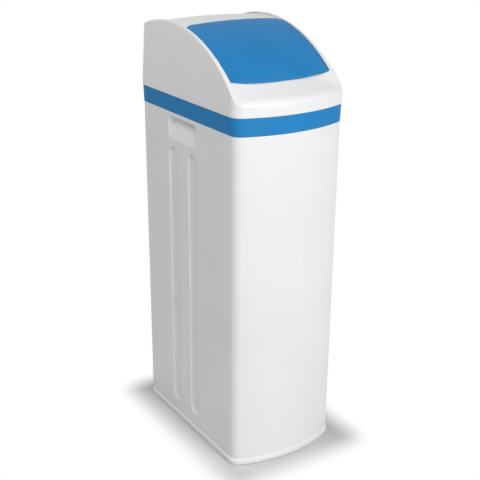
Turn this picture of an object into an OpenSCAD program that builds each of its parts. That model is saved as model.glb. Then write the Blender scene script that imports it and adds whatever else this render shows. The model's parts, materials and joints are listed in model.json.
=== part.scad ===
/* [Cabinet] */
// Width of the cabinet across its sides
cabinet_w = 316; // [312:1:330]
// Depth of the cabinet from the crown of the front to the back
cabinet_d = 496; // [490:1:510]
// Height of the cabinet up to the trim band
cabinet_h = 895; // [880:1:930]
// How far the front bows out between its corners
front_bow = 35; // [30:1:38]
// Radius of the two front corners
front_corner_r = 28; // [24:1:40]
// Radius of the two rear corners
rear_corner_r = 24; // [16:1:30]
// Thickness of the moulded wall
wall = 4; // [3:0.5:5]
// Thickness of the floor
floor_t = 5; // [4:0.5:7]
// Height of the bead around the foot
bead_h = 17; // [10:1:22]
// How far the bead stands out
bead_out = 3; // [1:0.5:4]

/* [Pressed forms] */
// Width of each upright channel
channel_w = 45; // [36:1:50]
// Depth of each upright channel on the sides
channel_depth = 6; // [3:0.5:7]
// Depth of the upright channel on the front
front_depth = 2; // [1:0.5:4]
// Height of the channels above the floor
channel_z0 = 55; // [45:1:90]
// Gap from the top of the channels to the trim band
channel_drop = 90; // [86:1:120]
// Distance between the two channels of one side
channel_pitch = 96; // [88:1:104]
// Distance from the back to the middle of the side pattern
side_back = 217; // [212:1:222]
// Width of the hand grip
grip_w = 140; // [120:1:146]
// Height of the hand grip
grip_h = 60; // [50:1:62]
// Depth of the hand grip at its top
grip_depth = 22; // [16:1:24]
// Corner radius of the hand grip
grip_r = 12; // [6:1:18]
// Gap from the hand grip to the trim band
grip_drop = 10; // [10:1:16]

/* [Trim band] */
// Height of the trim band
band_h = 45; // [40:1:50]
// How far the band stands out from the cabinet
band_out = 2; // [1:0.5:3]
// Depth of the band's ring inside the cabinet outline
band_in = 3; // [2:0.5:3.5]
// Depth of the locating skirt inside the cabinet
skirt_drop = 5; // [4:0.5:5]
// Thickness of the locating skirt
skirt_t = 2.5; // [2:0.5:3]
// Clearance around the locating skirt
skirt_gap = 0.5; // [0.3:0.1:0.8]
// Height of the rib that locates the cover
rib_h = 8; // [5:1:10]

/* [Cover] */
// How far the cover stands out from the cabinet at its foot
cover_out = 4; // [3:0.5:5]
// Thickness of the cover
cover_wall = 3; // [2.5:0.5:3]
// Height of the cover above the trim band
cover_rise = 181; // [178:1:186]
// Lean of each side of the cover, foot to top
cover_lean = 13; // [9:1:13]
// Radius of the rails that the lid slides on
rail_r = 421; // [419:1:424]
// Distance from the back to the axis of the rails
rail_back = 143; // [140:1:146]
// Half of the distance between the rails
rail_half = 145; // [143:0.5:145]
// Depth of the deck below the rails
deck_drop = 6; // [6:0.5:7]
// Rise of the deck and lid at the middle
crown = 6; // [4:1:9]
// Half width of the fill mouth
fill_half = 132; // [110:1:134]
// Angle of the rear edge of the fill mouth
fill_a0 = 15; // [15:1:18]
// Angle of the front edge of the fill mouth
fill_a1 = 40; // [36:0.5:40]
// Height of the shelf ledge above the trim band
ledge_h = 35; // [32:1:38]
// Half width of the rear notch for the pipes
notch_half = 100; // [92:1:110]
// Height of the rear notch
notch_h = 106; // [100:1:116]

/* [Lid] */
// Thickness of the lid
lid_t = 3.4; // [3:0.2:3.4]
// Gap between the lid and the deck
lid_gap = 0.6; // [0.5:0.1:0.8]
// Clearance of the lid's tongues in their slots
tongue_fit = 0.3; // [0.3:0.05:0.4]
// Depth of the slots in the rails
slot_depth = 3.2; // [3:0.1:3.4]
// Angle of the rear edge of the lid
lid_a0 = 8.5; // [8:0.5:10]
// Distance from the cabinet's middle to the lid's front edge
lid_front = 190; // [188:0.5:192]
// Bow of the lid's front edge
lid_bow = 15; // [12:1:17]
// Seam between the lid's front edge and the shelf
lid_seam = 0.8; // [0.6:0.1:1.2]
// Radius of the lid's rear corners
lid_corner_r = 28; // [12:1:32]
// Width of the finger lip
lip_w = 14; // [8:1:18]
// Height of the finger lip
lip_h = 2.5; // [1.5:0.5:3]

/* [Vessel] */
// Diameter of the pressure vessel
vessel_d = 257; // [240:1:257]
// Wall of the pressure vessel
vessel_wall = 4; // [3:0.5:5]
// Gap from the vessel to the cabinet's back wall
vessel_gap = 9.5; // [7.5:0.5:13.5]
// Gap from the vessel's neck to the trim band
vessel_drop = 10; // [8:1:12]
// Height of the lower dome
dome_low = 70; // [60:1:80]
// Height of the upper dome
dome_high = 75; // [70:1:80]
// Radius of the vessel's flat foot
foot_r = 60; // [50:1:70]
// Radius of the neck
neck_r = 42; // [40:1:44]
// Height of the neck
neck_h = 20; // [16:1:24]
// Bore of the neck
neck_bore = 31.6; // [31:0.1:32]
// Thickness of the boot under the vessel
boot_t = 7; // [5:1:9]
// Height of the resin bed
bed_h = 540; // [400:1:600]
// Radius of the riser tube
riser_r = 13.35; // [12:0.05:13.5]
// Wall of the riser tube
riser_wall = 1.8; // [1.2:0.1:2.4]

/* [Valve] */
// Height of the piston's axis above the vessel's neck
valve_rise = 75; // [74:1:78]
// Outer radius of the piston housing
barrel_r = 34; // [32:0.5:34]
// Bore of the piston housing
barrel_bore = 24; // [23:0.5:25]
// Radius of the piston
piston_r = 15.5; // [14:0.5:16]
// Length of the piston
piston_l = 60; // [54:1:62]
// Stroke of the piston
stroke = 24; // [16:1:24]
// Radius of the piston rod
rod_r = 4; // [3:0.5:4.5]
// Running clearance of turning and sliding pieces
run_fit = 0.05; // [0.03:0.01:0.08]
// Distance of each pipe from the middle
pipe_x = 38; // [37:0.5:42]
// Outer radius of the pipe connections
pipe_r = 16.6; // [15:0.1:17]
// Bore of the pipe connections
pipe_bore = 12; // [10:0.5:12.5]
// How far the pipe connections stand out behind the cabinet
pipe_out = 10; // [6:1:20]
// Radius of the drain connection
drain_r = 6.5; // [5:0.5:7]
// Radius of the bypass rotors
rotor_r = 14; // [13:0.5:14]

/* [Drive] */
// Tooth module of the drive gears
gear_m = 1; // [1:0.05:1.05]
// Teeth of the drive gear
gear_teeth = 84; // [80:1:86]
// Teeth of the motor pinion
pinion_teeth = 18; // [18:1:20]
// Backlash between the gears
backlash = 0.3; // [0.25:0.05:0.4]
// Width of the gears
gear_w = 8; // [6:1:9]
// Radius of the drive motor
motor_r = 12; // [10:0.5:13]
// Length of the drive motor
motor_l = 38; // [28:1:44]
// Half width of the control housing
housing_half = 64; // [62:1:70]
// Depth of the control housing
housing_d = 46; // [44:1:48]
// Height of the control housing
housing_h = 142; // [138:1:148]
// Wall of the control housing
housing_wall = 2.5; // [2:0.5:3]
// Radius of the buttons
button_r = 5; // [4:0.5:6]
// Travel of the buttons
button_travel = 1.5; // [1:0.1:1.5]
// Distance between buttons
button_pitch = 22; // [18:1:24]

/* [Brine side] */
// Outer radius of the brine well
well_r = 45; // [40:1:46]
// Wall of the brine well
well_wall = 2.5; // [2:0.5:3]
// Gap from the brine well to the cabinet's side
well_side = 9; // [8:1:14]
// Distance of the brine well in front of the cabinet's middle
well_front = 95; // [92:1:100]
// Gap from the brine well's cap to the trim band
well_drop = 75; // [70:1:100]
// Radius of the brine tube
tube_r = 4.75; // [4:0.05:4.8]
// Radius of the float
float_r = 16; // [12:0.5:16]
// Height of the float
float_h = 50; // [36:1:60]
// Rise of the float
float_rise = 60; // [30:1:100]
// Height of the salt grid
grid_z = 66; // [60:1:90]
// Thickness of the salt grid
grid_t = 6; // [4:1:8]
// Gap from the overflow to the trim band
overflow_drop = 115; // [110:1:200]
// Distance of the overflow from the middle
overflow_side = 58; // [48:1:60]
// Radius of the overflow connection
overflow_r = 8; // [6:0.5:9]

/* [Hidden] */
$fn = 96;
over = 1;
half_w = cabinet_w / 2;
half_d = cabinet_d / 2;
bow_r = (half_w * half_w + front_bow * front_bow) / (2 * front_bow);
bow_y = bow_r - half_d;
front_cx = half_w - front_corner_r;
front_cy = bow_y - sqrt(pow(bow_r - front_corner_r, 2) - front_cx * front_cx);
corner_sweep = atan2(bow_y - front_cy, front_cx);
rear_cx = half_w - rear_corner_r;
rear_cy = half_d - rear_corner_r;
side_y = half_d - side_back;
channel_z1 = cabinet_h - channel_drop;
grip_z1 = cabinet_h - grip_drop;
grip_z0 = grip_z1 - grip_h;
grip_roof = 20;

cover_z = cabinet_h + band_h;
cover_top = cover_z + cover_rise;
rail_y = half_d - rail_back;
rail_z = cover_top - rail_r;
deck_r = rail_r - deck_drop;
crown_steps = 16;
rail_span = half_w + cover_out + over;
hub_r = 200;
slot_r0 = deck_r + 0.2;
slot_r1 = slot_r0 + lid_t + 0.4;
lid_in = deck_r + lid_gap;
lid_half = rail_half - lid_gap;
tongue_x = rail_half + slot_depth - tongue_fit;
lid_rear_y = rail_y - lid_in * sin(lid_a0);
lid_arc_r = (lid_half * lid_half + lid_bow * lid_bow) / (2 * lid_bow);
lid_arc_y = lid_arc_r - lid_front;
lid_front_z = rail_z + sqrt(pow(lid_in + crown + lid_t, 2) - pow(rail_y + lid_front, 2));
shelf_r0 = bow_y + lid_front;
shelf_r1 = bow_r + cover_out;
shelf_slope = (lid_front_z - cover_z - ledge_h) / (shelf_r1 - shelf_r0);

vessel_r = vessel_d / 2;
vessel_y = half_d - wall - vessel_gap - vessel_r;
vessel_z = floor_t + boot_t;
vessel_top = cabinet_h - vessel_drop;
shoulder_z = vessel_top - neck_h - dome_high;
dome_steps = 9;
boot_r = vessel_r - 8;
boot_wall = 8;
boot_share = (boot_r - boot_wall - foot_r) / (vessel_r - foot_r);
boot_rim = vessel_z + dome_low * (1 - sqrt(1 - boot_share * boot_share)) - 0.4;
basket_r = 29;
basket_h = 56;
spread_r = 30;
spread_h = 50;
fit_gap = 0.2;

collar_h = 20;
collar_r = 50;
thread_r = neck_bore - fit_gap;
thread_l = 24;
screen_w = 3;
screen_h = 2;
basket_wall = 3;
basket_pitch = 10;
seal_r = 36;
seal_t = 2.4;
valve_z = vessel_top + valve_rise;
valve_y0 = vessel_y - 50;
valve_y1 = vessel_y + 64;
pedestal_r = 40;
plug_l = 12;
injector_y = vessel_y - 20;
injector_z = valve_z + 4;
injector_r = 11;
injector_l = barrel_r + 18;
injector_cap_t = 9;
boss_r = 9;
boss_l = barrel_r + 8;
drain_boss_r = 11;
drain_boss_z = valve_z + barrel_r + 6;
cross_r = 8;
cross_y = vessel_y + 16;
barrel_end = 4;
socket_r = pipe_r + 0.4;
tube_y1 = vessel_y + 74;
bypass_y = vessel_y + 98;
bypass_r = 18;
bypass_h = 50;
nipple_y = bypass_y + bypass_r + 4;
nipple_collar = 3.4;
rotor_z0 = valve_z - bypass_h / 2 + 3;
rotor_z1 = valve_z + bypass_h / 2 + 0.5;
link_r = 12;
pipe_end = half_d + cover_out + pipe_out;
drain_z = valve_z + 50;
drain_y = vessel_y + 34;
piston_y0 = valve_y0 + plug_l + 10;
ring_count = 5;
ring_l = 8;
ring_pitch = 18;

bracket_t = 4;
bracket_y = valve_y0 - bracket_t;
housing_y = bracket_y - housing_d;
housing_z = valve_z - 52;
gear_y0 = bracket_y - 2 - gear_w;
gear_r = gear_m * gear_teeth / 2;
pinion_r = gear_m * pinion_teeth / 2;
mesh_angle = 45;
motor_x = (gear_r + pinion_r) * cos(mesh_angle);
motor_z = valve_z + (gear_r + pinion_r) * sin(mesh_angle);
hub_out = 9;
hub_y0 = gear_y0 - 6;
rod_y0 = hub_y0 - stroke + 4;
shaft_r = 2;
pressure_angle = 20;
inv_pitch = (tan(pressure_angle) - pressure_angle * PI / 180) * 180 / PI;
flank_steps = 3;
button_z = housing_z + 30;
window_w = 62;
window_h = 30;
window_z = housing_z + 88;
board_y = housing_y + 6;
board_t = 1.6;
board_drop = 50;
housing_corner = 10;
post_r = 5;
button_gap = 0.3;
window_rim = 3;
window_seat = 1.2;
jack_y = housing_y + housing_d / 2;
jack_z = housing_z + 26;
jack_r = 4;
jack_flange = 6;
jack_bore = 2.75;
jack_out = 4;
jack_in = 8;
bolt_ring = 29;
screw_r = 2.5;
head_r = 4.5;

well_x = half_w - wall - well_side - well_r;
well_y = -well_front;
well_z1 = cabinet_h - well_drop;
entry_z = well_z1 - 32;
tube_clear = 9.4;
tube_gap = 0.5;
well_slot_w = 10;
well_slot_h = 24;
well_slot_z = floor_t + 30;
cap_t = 7;
cap_rim = 2;
cap_skirt = 10;
cap_fit = well_wall + 0.3;
knob_r = 8;
knob_h = 16;
grid_edge = 2 * wall + channel_depth + 1;
grid_back = vessel_y - vessel_r + 2.5;
grid_gap = 3;
grid_pitch = 24;
grid_hole_r = 4;
grid_post_r = 6;
grid_posts = [[-120, -60], [-120, -140], [-60, -190], [60, -190], [-20, -90]];
stem_r = 6;
rod_y = well_y - 24;
wire_r = 2;
guide_z0 = 240;
guide_t = 10;
guide_spare = 60;
guide_z1 = guide_z0 + guide_t + float_h + float_rise + guide_spare;
guide_r = 11;
float_gap = 0.5;
spout_l = 28;
foot_valve_r = 14;
foot_valve_h = 46;
elbow_x = barrel_r + 28;
elbow_y = vessel_y - 26;
elbow_z = valve_z - 14;
overflow_x = half_w - overflow_side;
overflow_z = cabinet_h - overflow_drop;
overflow_hole = overflow_r + 2.5;
overflow_reach = 24;
overflow_y = half_d + overflow_reach;
overflow_wall = 2;
flange_t = 4;
flange_r = overflow_hole + 6;
overflow_seal_t = 2;
flange_y = half_d + overflow_seal_t;
nut_t = 8;
shank_r = overflow_hole - 0.5;
shank_y = half_d - 22;
overflow_neck = 14;
overflow_l = 40;

white = [0.94, 0.94, 0.95];
blue = [0.2, 0.53, 0.76];
grey = [0.62, 0.64, 0.66];
dark = [0.12, 0.12, 0.13];
red = [0.72, 0.1, 0.1];
steel = [0.75, 0.76, 0.78];

function arc_points(c, r, a0, a1, n) =
    [for (i = [0:n]) c + r * [cos(a0 + (a1 - a0) * i / n), sin(a0 + (a1 - a0) * i / n)]];

function bow_points(r, n) =
    [for (i = [1:n - 1]) let(a = 180 + corner_sweep + (180 - 2 * corner_sweep) * i / n)
        [r * cos(a), bow_y + r * sin(a)]];

// Outline of the cabinet seen from above, grown outwards or shrunk
function plan(grow) = concat(
    arc_points([-rear_cx, rear_cy], rear_corner_r + grow, 90, 180, 6),
    arc_points([-front_cx, front_cy], front_corner_r + grow, 180, 180 + corner_sweep, 10),
    bow_points(bow_r + grow, 14),
    arc_points([front_cx, front_cy], front_corner_r + grow, 360 - corner_sweep, 360, 10),
    arc_points([rear_cx, rear_cy], rear_corner_r + grow, 0, 90, 6));

// Crowned line across the lid or the deck
function crown_line(r, half, reach) =
    [for (i = [0:crown_steps]) let(x = reach * (2 * i / crown_steps - 1))
        [r + crown * (1 - pow(x / half, 2)), x]];

function reversed(list) = [for (i = [len(list) - 1:-1:0]) list[i]];

function low_dome(r, foot, z, h) =
    [for (i = [0:dome_steps]) let(a = 90 * i / dome_steps)
        [foot + (r - foot) * sin(a), z + h * (1 - cos(a))]];

function high_dome(r, neck, z, h) =
    [for (i = [0:dome_steps]) let(a = 90 * i / dome_steps)
        [neck + (r - neck) * cos(a), z + h * sin(a)]];

function involute(rho, base) =
    let(a = acos(min(1, base / rho))) (tan(a) - a * PI / 180) * 180 / PI;

// Outline of a spur gear with involute flanks
function gear_outline(teeth) =
    let(r = gear_m * teeth / 2)
    let(base = r * cos(pressure_angle))
    let(root = r - 1.25 * gear_m)
    let(tip = r + 0.9 * gear_m)
    let(low = max(base, root))
    let(half = (PI * gear_m - backlash) / (4 * r) * 180 / PI + inv_pitch)
    let(flank = [for (i = [0:flank_steps]) low + (tip - low) * i / flank_steps])
    [for (t = [0:teeth - 1]) each concat(
        [[root, t * 360 / teeth - half]],
        [for (rho = flank) [rho, t * 360 / teeth - half + involute(rho, base)]],
        [for (rho = reversed(flank)) [rho, t * 360 / teeth + half - involute(rho, base)]],
        [[root, t * 360 / teeth + half]])];

function from_polar(list) = [for (p = list) p[0] * [cos(p[1]), sin(p[1])]];

module slab(grow, z0, z1) {
    translate([0, 0, z0]) linear_extrude(z1 - z0) polygon(plan(grow));
}

module ring(outer, inner, z0, z1) {
    difference() {
        slab(outer, z0, z1);
        slab(inner, z0 - over, z1 + over);
    }
}

module both_sides() {
    children();
    mirror([1, 0, 0]) children();
}

module along_y(y0, y1) {
    translate([0, y1, 0]) rotate([90, 0, 0]) linear_extrude(y1 - y0) children();
}

module along_x(x0, x1) {
    translate([x0, 0, 0]) rotate([90, 0, 90]) linear_extrude(x1 - x0) children();
}

module rod_x(y, z, r, x0, x1) {
    along_x(x0, x1) translate([y, z]) circle(r);
}

module rod_y(x, z, r, y0, y1) {
    along_y(y0, y1) translate([x, z]) circle(r);
}

module rod_z(x, y, r, z0, z1) {
    translate([x, y, z0]) cylinder(r = r, h = z1 - z0);
}

module stadium(w, z0, z1) {
    translate([-w / 2, z0 + w / 2]) square([w, z1 - z0 - w]);
    translate([0, z0 + w / 2]) circle(w / 2);
    translate([0, z1 - w / 2]) circle(w / 2);
}

module rounded(w, h, r) {
    translate([-w / 2 + r, -h / 2]) square([w - 2 * r, h]);
    translate([-w / 2, -h / 2 + r]) square([w, h - 2 * r]);
    for (x = [-1, 1], y = [-1, 1]) translate([x * (w / 2 - r), y * (h / 2 - r)]) circle(r);
}

module side_channel(y, grow) {
    along_x(-half_w - bead_out - over, -half_w + channel_depth + grow) translate([y, 0])
        stadium(channel_w + 2 * grow, channel_z0 - grow, channel_z1 + grow);
}

module front_channel(grow) {
    along_y(-half_d - bead_out - over, -half_d + front_depth + grow)
        stadium(channel_w + 2 * grow, channel_z0 - grow, channel_z1 + grow);
}

module grip_scoop(grow) {
    intersection() {
        along_x(-half_w - over, -half_w + grip_depth + grow) translate([side_y, (grip_z0 + grip_z1) / 2])
            rounded(grip_w + 2 * grow, grip_h + 2 * grow, grip_r);
        along_y(side_y - grip_w, side_y + grip_w) polygon([
            [-half_w - over, grip_z0 - grow - over],
            [-half_w + grow, grip_z0 - grow - over],
            [-half_w + grow, grip_z0 - grow],
            [-half_w + grip_depth + grow, grip_z1 - grip_roof],
            [-half_w + grip_depth + grow, grip_z1 + grow + over],
            [-half_w - over, grip_z1 + grow + over]]);
    }
}

module pressed_forms(grow) {
    both_sides() {
        side_channel(side_y - channel_pitch / 2, grow);
        side_channel(side_y + channel_pitch / 2, grow);
        grip_scoop(grow);
    }
    front_channel(grow);
}

module cabinet_body() {
    color(white) difference() {
        union() {
            difference() {
                union() {
                    slab(0, 0, cabinet_h);
                    slab(bead_out, 0, bead_h);
                }
                slab(-wall, floor_t, cabinet_h + over);
            }
            intersection() {
                slab(-wall / 2, floor_t, cabinet_h - over);
                pressed_forms(wall);
            }
        }
        pressed_forms(0);
        rod_y(-overflow_x, overflow_z, overflow_hole, half_d - 2 * wall, half_d + over);
    }
}

module trim_band() {
    color(blue) union() {
        ring(band_out, -band_in, cabinet_h, cover_z);
        ring(0, -wall - skirt_gap - skirt_t, cabinet_h, cabinet_h + skirt_t);
        ring(-wall - skirt_gap, -wall - skirt_gap - skirt_t, cabinet_h - skirt_drop, cabinet_h + over);
        difference() {
            ring(0, -band_in, cover_z - over, cover_z + rib_h);
            translate([-notch_half, 0, cover_z]) cube([2 * notch_half, half_d + band_out, rib_h + over]);
        }
    }
}

module about_rails(a0, a1) {
    translate([0, rail_y, rail_z]) rotate([0, -90, 180]) rotate([0, 0, a0])
        rotate_extrude(angle = a1 - a0) children();
}

module cover_shape(inset) {
    foot = half_w + cover_out - inset;
    rail = inset == 0 ? rail_r : deck_r - inset;
    intersection() {
        slab(cover_out - inset, cover_z - (inset == 0 ? 0 : over), cover_top + crown + over);
        along_y(-half_d - 2 * cover_out, half_d + 2 * cover_out) polygon([
            [-foot, cover_z - 2 * over],
            [foot, cover_z - 2 * over],
            [foot, cover_z],
            [foot - cover_lean, cover_top + crown + 2 * over],
            [-foot + cover_lean, cover_top + crown + 2 * over],
            [-foot, cover_z]]);
        union() {
            about_rails(-45, 65) polygon(concat(
                [[hub_r, -rail_span], [rail, -rail_span], [rail, -rail_half]],
                crown_line(deck_r - inset - (inset == 0 ? 0 : 0.01), rail_half, rail_half),
                [[rail, rail_half], [rail, rail_span], [hub_r, rail_span]]));
            difference() {
                translate([0, bow_y, 0]) rotate([0, 0, 180]) rotate_extrude(angle = 180) polygon([
                    [shelf_r0 - 90, cover_z - 2 * over],
                    [shelf_r1 + 10, cover_z - 2 * over],
                    [shelf_r1 + 10, cover_z + ledge_h - 10 * shelf_slope - inset],
                    [shelf_r0 - 90, lid_front_z + 90 * shelf_slope - inset]]);
                rod_z(0, lid_arc_y, lid_arc_r + lid_seam + inset, cover_z - 3 * over, cover_top + 90);
            }
        }
    }
}

module rail_slots() {
    both_sides() about_rails(-45, 43.5) polygon([
        [slot_r0, rail_half - 2 * lid_gap],
        [slot_r1, rail_half - 2 * lid_gap],
        [slot_r1, rail_half + slot_depth],
        [slot_r0, rail_half + slot_depth]]);
}

module top_cover() {
    color(white) difference() {
        cover_shape(0);
        cover_shape(cover_wall);
        rail_slots();
        about_rails(fill_a0, fill_a1) polygon([
            [deck_r - 3 * cover_wall, -fill_half],
            [deck_r + 2 * crown, -fill_half],
            [deck_r + 2 * crown, fill_half],
            [deck_r - 3 * cover_wall, fill_half]]);
        translate([-notch_half, half_d - 4 * wall, cover_z - over])
            cube([2 * notch_half, 8 * wall, notch_h + over]);
    }
}

module lid_trim() {
    side = tongue_x + over;
    corner = lid_corner_r + over;
    translate([0, 0, cover_z]) linear_extrude(2 * cover_rise) {
        difference() {
            translate([-side, -half_d]) square([2 * side, half_d]);
            translate([0, lid_arc_y]) circle(lid_arc_r);
        }
        for (x = [-1, 1]) difference() {
            translate([x * (side - lid_corner_r / 2), lid_rear_y + over - corner / 2])
                square([lid_corner_r, corner], center = true);
            translate([x * (side - lid_corner_r), lid_rear_y - lid_corner_r]) circle(lid_corner_r);
        }
    }
}

module salt_lid() {
    color(blue) union() {
        difference() {
            about_rails(lid_a0, 52) polygon(concat(
                [[slot_r0 + tongue_fit, -tongue_x], [slot_r1 - tongue_fit, -tongue_x]],
                crown_line(lid_in + lid_t, lid_half, lid_half),
                [[slot_r1 - tongue_fit, tongue_x], [slot_r0 + tongue_fit, tongue_x]],
                reversed(crown_line(lid_in, lid_half, lid_half))));
            lid_trim();
        }
        difference() {
            about_rails(30, 52) polygon(concat(
                crown_line(lid_in + lid_t + lip_h, lid_half, lid_half - lip_w),
                reversed(crown_line(lid_in + lid_t / 2, lid_half, lid_half - lip_w))));
            lid_trim();
            rod_z(0, lid_arc_y, lid_arc_r - lip_w, cover_z, cover_top + 90);
        }
    }
}

module about_vessel() {
    translate([0, vessel_y, 0]) rotate_extrude() children();
}

module pressure_vessel() {
    color([0.16, 0.3, 0.45]) about_vessel() polygon(concat(
        [[0, vessel_z]],
        low_dome(vessel_r, foot_r, vessel_z, dome_low),
        high_dome(vessel_r, neck_r, shoulder_z, dome_high),
        [[neck_r, vessel_top], [neck_bore, vessel_top]],
        reversed(high_dome(vessel_r - vessel_wall, neck_bore, shoulder_z, dome_high - vessel_wall)),
        reversed(low_dome(vessel_r - vessel_wall, foot_r, vessel_z + vessel_wall, dome_low - vessel_wall)),
        [[0, vessel_z + vessel_wall]]));
}

module vessel_boot() {
    color(dark) difference() {
        rod_z(0, vessel_y, boot_r, floor_t, boot_rim);
        rod_z(0, vessel_y, boot_r - boot_wall, vessel_z, boot_rim + over);
    }
}

module resin_bed() {
    bed_z = vessel_z + vessel_wall;
    color([0.62, 0.36, 0.12]) difference() {
        about_vessel() polygon(concat(
            [[0, bed_z]],
            low_dome(vessel_r - vessel_wall - fit_gap, foot_r, bed_z, dome_low - vessel_wall),
            [[vessel_r - vessel_wall - fit_gap, bed_z + bed_h], [0, bed_z + bed_h]]));
        rod_z(0, vessel_y, riser_r + fit_gap, bed_z - over, bed_z + bed_h + over);
        rod_z(0, vessel_y, spread_r + fit_gap, bed_z - over, bed_z + spread_h + fit_gap);
    }
}

module lower_distributor() {
    z = vessel_z + vessel_wall;
    color(grey) difference() {
        rod_z(0, vessel_y, spread_r, z, z + spread_h);
        rod_z(0, vessel_y, riser_r + fit_gap, z + spread_h / 2, z + spread_h + over);
        rod_z(0, vessel_y, riser_r - riser_wall, z + boot_wall, z + spread_h);
        for (a = [0:30:150], k = [1:3]) translate([0, vessel_y, z + k * boot_wall]) rotate([0, 0, a])
            cube([2 * spread_r + over, screen_w, screen_h], center = true);
    }
}

module riser_tube() {
    z = vessel_z + vessel_wall + spread_h / 2;
    color(white) difference() {
        rod_z(0, vessel_y, riser_r, z, vessel_top + collar_h - over);
        rod_z(0, vessel_y, riser_r - riser_wall, z - over, vessel_top + collar_h);
    }
}

module upper_basket() {
    z1 = vessel_top - thread_l;
    color(grey) difference() {
        rod_z(0, vessel_y, basket_r, z1 - basket_h, z1);
        rod_z(0, vessel_y, basket_r - basket_wall, z1 - basket_h + basket_wall, z1 + over);
        rod_z(0, vessel_y, riser_r + fit_gap, z1 - basket_h - over, z1);
        for (a = [0:30:150], k = [1:4]) translate([0, vessel_y, z1 - k * basket_pitch]) rotate([0, 0, a])
            cube([2 * basket_r + over, screen_w, screen_h], center = true);
    }
}

module valve_body() {
    color([0.14, 0.15, 0.16]) difference() {
        union() {
            rod_z(0, vessel_y, collar_r, vessel_top, vessel_top + collar_h);
            rod_z(0, vessel_y, thread_r, vessel_top - thread_l, vessel_top + over);
            rod_z(0, vessel_y, pedestal_r, vessel_top + over, valve_z);
            rod_y(0, valve_z, barrel_r, valve_y0, valve_y1);
            both_sides() rod_y(pipe_x, valve_z, socket_r, cross_y - 2 * injector_r, tube_y1);
            rod_x(injector_y, injector_z, injector_r, -injector_l, 0);
            rod_x(elbow_y, elbow_z, boss_r, 0, boss_l);
            rod_z(0, drain_y, drain_boss_r, valve_z, drain_boss_z);
        }
        rod_y(0, valve_z, barrel_bore, valve_y0 - over, valve_y1 - barrel_end);
        both_sides() rod_y(pipe_x, valve_z, pipe_bore, vessel_y, tube_y1 + over);
        rod_x(cross_y, valve_z, cross_r, -pipe_x, pipe_x);
        rod_z(0, vessel_y, riser_r + fit_gap, vessel_top - thread_l - over, vessel_top + collar_h);
        rod_z(0, vessel_y, riser_r - riser_wall, vessel_top, valve_z);
        rod_z(0, drain_y, drain_r - 2, valve_z, drain_boss_z + over);
        rod_x(elbow_y, elbow_z, boss_r / 3, barrel_bore - boss_r, boss_l + over);
        difference() {
            rod_z(0, vessel_y, seal_r + seal_t + 0.4, vessel_top - over, vessel_top + 2 * seal_t + 0.2);
            rod_z(0, vessel_y, seal_r - seal_t - 0.4, vessel_top - 2 * over, vessel_top + 3 * seal_t);
        }
    }
}

module neck_seal() {
    color(dark) translate([0, vessel_y, vessel_top + seal_t]) rotate_extrude()
        translate([seal_r, 0]) circle(seal_t, $fn = 24);
}

module end_plug() {
    color(grey) difference() {
        rod_y(0, valve_z, barrel_bore - fit_gap, valve_y0, valve_y0 + plug_l);
        rod_y(0, valve_z, rod_r + run_fit, valve_y0 - over, valve_y0 + plug_l + over);
    }
}

module seal_stack() {
    color([0.25, 0.25, 0.27]) for (k = [0:ring_count - 1]) {
        y = piston_y0 + k * ring_pitch;
        difference() {
            rod_y(0, valve_z, barrel_bore - run_fit, y, y + ring_l);
            rod_y(0, valve_z, piston_r + run_fit, y - over, y + ring_l + over);
        }
    }
}

module piston() {
    color(steel) difference() {
        rod_y(0, valve_z, piston_r, piston_y0, piston_y0 + piston_l);
        for (k = [1, 3]) difference() {
            rod_y(0, valve_z, piston_r + over, piston_y0 + k * piston_l / 6, piston_y0 + (k + 1) * piston_l / 6);
            rod_y(0, valve_z, piston_r - 4, piston_y0, piston_y0 + piston_l);
        }
    }
}

module piston_rod() {
    color(steel) rod_y(0, valve_z, rod_r, rod_y0, piston_y0);
}

module housing_face() {
    translate([0, housing_z + housing_h / 2]) rounded(2 * housing_half, housing_h, housing_corner);
}

module screw_places() {
    for (x = [-1, 1], z = [9, housing_h - 9]) translate([x * (housing_half - 9), housing_z + z]) children();
}

module drive_bracket() {
    color(grey) difference() {
        along_y(bracket_y, valve_y0) housing_face();
        rod_y(0, valve_z, hub_out + run_fit, bracket_y - over, valve_y0 + over);
        rod_y(motor_x, motor_z, shaft_r + fit_gap, bracket_y - over, valve_y0 + over);
        along_y(bracket_y - over, valve_y0 + over) screw_places() circle(screw_r);
        along_y(bracket_y - over, valve_y0 + over) for (a = [45:90:315])
            translate([29 * cos(a), valve_z + 29 * sin(a)]) circle(screw_r);
    }
}

module drive_gear() {
    color([0.9, 0.88, 0.8]) difference() {
        union() {
            along_y(gear_y0, gear_y0 + gear_w) translate([0, valve_z]) rotate(mesh_angle)
                polygon(from_polar(gear_outline(gear_teeth)));
            rod_y(0, valve_z, hub_out, hub_y0, valve_y0 - fit_gap);
        }
        rod_y(0, valve_z, rod_r + run_fit, hub_y0 - over, valve_y0);
    }
}

module motor_pinion() {
    color(steel) union() {
        along_y(gear_y0, gear_y0 + gear_w) translate([motor_x, motor_z])
            rotate(mesh_angle + 180 + 180 / pinion_teeth) polygon(from_polar(gear_outline(pinion_teeth)));
        rod_y(motor_x, motor_z, shaft_r, gear_y0, valve_y0 + motor_l / 2);
    }
}

module drive_motor() {
    color([0.5, 0.5, 0.52]) difference() {
        union() {
            rod_y(motor_x, motor_z, motor_r, valve_y0, valve_y0 + motor_l);
            rod_y(motor_x, motor_z, motor_r / 3, valve_y0, valve_y0 + motor_l + 4);
        }
        rod_y(motor_x, motor_z, shaft_r + run_fit, valve_y0 - over, valve_y0 + motor_l / 2 + over);
    }
}

module button_places() {
    for (k = [-1.5:1:1.5]) translate([k * button_pitch, button_z]) children();
}

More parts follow.
